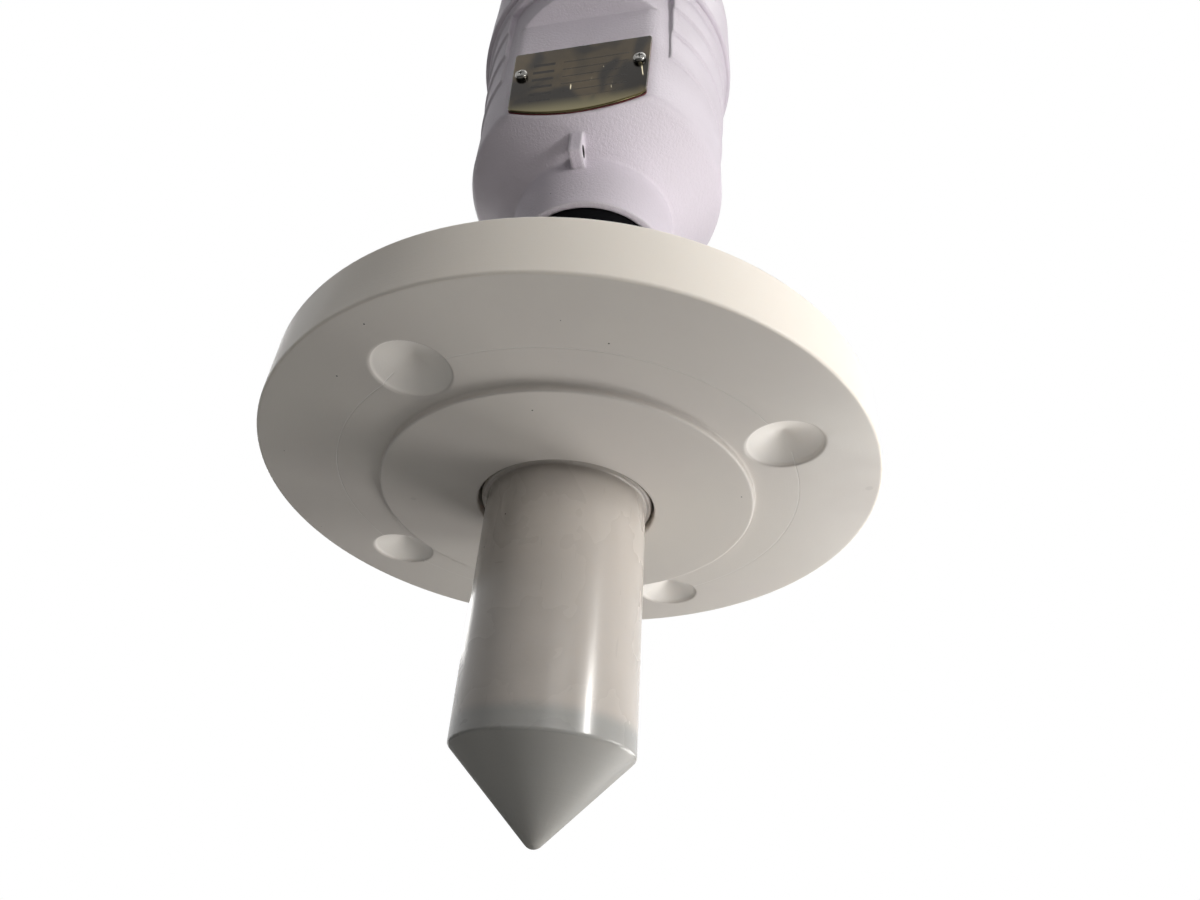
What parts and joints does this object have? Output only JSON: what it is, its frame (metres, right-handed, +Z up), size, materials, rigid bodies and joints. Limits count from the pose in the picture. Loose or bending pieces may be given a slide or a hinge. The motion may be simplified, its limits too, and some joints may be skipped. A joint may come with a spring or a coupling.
{
  "type": "radar level transmitter",
  "caption": "Radar level transmitter with plastic process flange, cone-tipped cylindrical antenna, swivelling cast housing, screw cover with window and cable gland.",
  "frame": {"origin": "centre of the process flange's raised face", "axes": "+Z up the axis from the raised face to the cover; the nameplate side faces -Y, turned 14.3 degrees towards -X"},
  "size_m": [0.165, 0.1676, 0.3238],
  "materials": {
    "flange_plastic": "machined white fluoroplastic",
    "antenna_plastic": "polished translucent white plastic",
    "seal_rubber": "black seal rubber",
    "horn_metal": "turned aluminium",
    "feed_plastic": "white fluoroplastic",
    "stainless": "turned stainless steel",
    "sleeve_plastic": "black bearing plastic",
    "housing_paint": "white powder coat over a blasted casting",
    "nameplate_steel": "bright rolled stainless",
    "tape": "dark red adhesive sheet",
    "screw_steel": "bright stainless",
    "gland_metal": "nickel-plated brass",
    "washer_plastic": "pale plastic washer",
    "module_metal": "die-cast aluminium",
    "cup_plastic": "dark grey moulded plastic",
    "board": "green circuit board",
    "carrier_plastic": "grey moulded plastic",
    "contact_gold": "gold-plated pins",
    "display_plastic": "grey moulded plastic",
    "screen_glass": "grey-green liquid-crystal screen",
    "key_plastic": "blue-grey key caps",
    "cover_paint": "white powder coat over a blasted casting",
    "window_glass": "clear safety glass"
  },
  "bodies": {
    "process_part": {"process_flange": "flange_plastic", "antenna_shell": "antenna_plastic", "antenna_seal": "seal_rubber", "feed_horn": "horn_metal", "feed_plug": "feed_plastic", "waveguide": "stainless", "process_neck": "stainless", "swivel_sleeve": "sleeve_plastic", "sleeve_seals": "seal_rubber", "swivel_nut": "stainless"},
    "housing": {"housing_body": "housing_paint", "swivel_lock_screw": "screw_steel", "nameplate": "nameplate_steel", "nameplate_tape": "tape", "nameplate_screws": "screw_steel", "ground_clamp": "screw_steel", "ground_screw": "screw_steel", "gland_washer": "washer_plastic", "gland_body": "gland_metal", "gland_insert": "seal_rubber", "gland_cap_nut": "gland_metal", "plug_washer": "washer_plastic", "blind_plug": "gland_metal", "radio_module": "module_metal", "electronics_cup": "cup_plastic", "cup_screws": "screw_steel", "main_board": "board", "terminal_carrier": "carrier_plastic", "terminal_screws": "screw_steel", "contact_pins": "contact_gold", "display_shell": "display_plastic", "display_back": "display_plastic", "display_board": "board", "display_screen": "screen_glass"},
    "key_enter": {"key_enter": "key_plastic"},
    "key_next": {"key_next": "key_plastic"},
    "key_plus": {"key_plus": "key_plastic"},
    "key_escape": {"key_escape": "key_plastic"},
    "seal": {"cover_seal": "seal_rubber"},
    "cover": {"cover": "cover_paint", "window_gasket": "seal_rubber", "cover_window": "window_glass", "window_ring": "module_metal"}
  },
  "joints": [
    {"name": "housing_swivel", "type": "hinge", "parent": "process_part", "child": "housing", "pos_m": [0, 0, 0.122], "axis": [0, 0, 1], "range_deg": [-165, 165]},
    {"name": "cover_lift", "type": "slide", "parent": "housing", "child": "seal", "axis": [0, 0, 1], "range_m": [0, 0.01401]},
    {"name": "cover_turn", "type": "hinge", "parent": "seal", "child": "cover", "pos_m": [0, 0, 0.2048], "axis": [0, 0, 1], "range_deg": [0, 2520]},
    {"name": "key_enter_press", "type": "slide", "parent": "housing", "child": "key_enter", "axis": [0, 0, -1], "range_m": [0, 0.0008], "stiffness_N_per_m": 800},
    {"name": "key_next_press", "type": "slide", "parent": "housing", "child": "key_next", "axis": [0, 0, -1], "range_m": [0, 0.0008], "stiffness_N_per_m": 800},
    {"name": "key_plus_press", "type": "slide", "parent": "housing", "child": "key_plus", "axis": [0, 0, -1], "range_m": [0, 0.0008], "stiffness_N_per_m": 800},
    {"name": "key_escape_press", "type": "slide", "parent": "housing", "child": "key_escape", "axis": [0, 0, -1], "range_m": [0, 0.0008], "stiffness_N_per_m": 800}
  ],
  "couplings": [
    {"joint": "cover_lift", "follows": "cover_turn", "m_per_rad": 0.00031831}
  ]
}
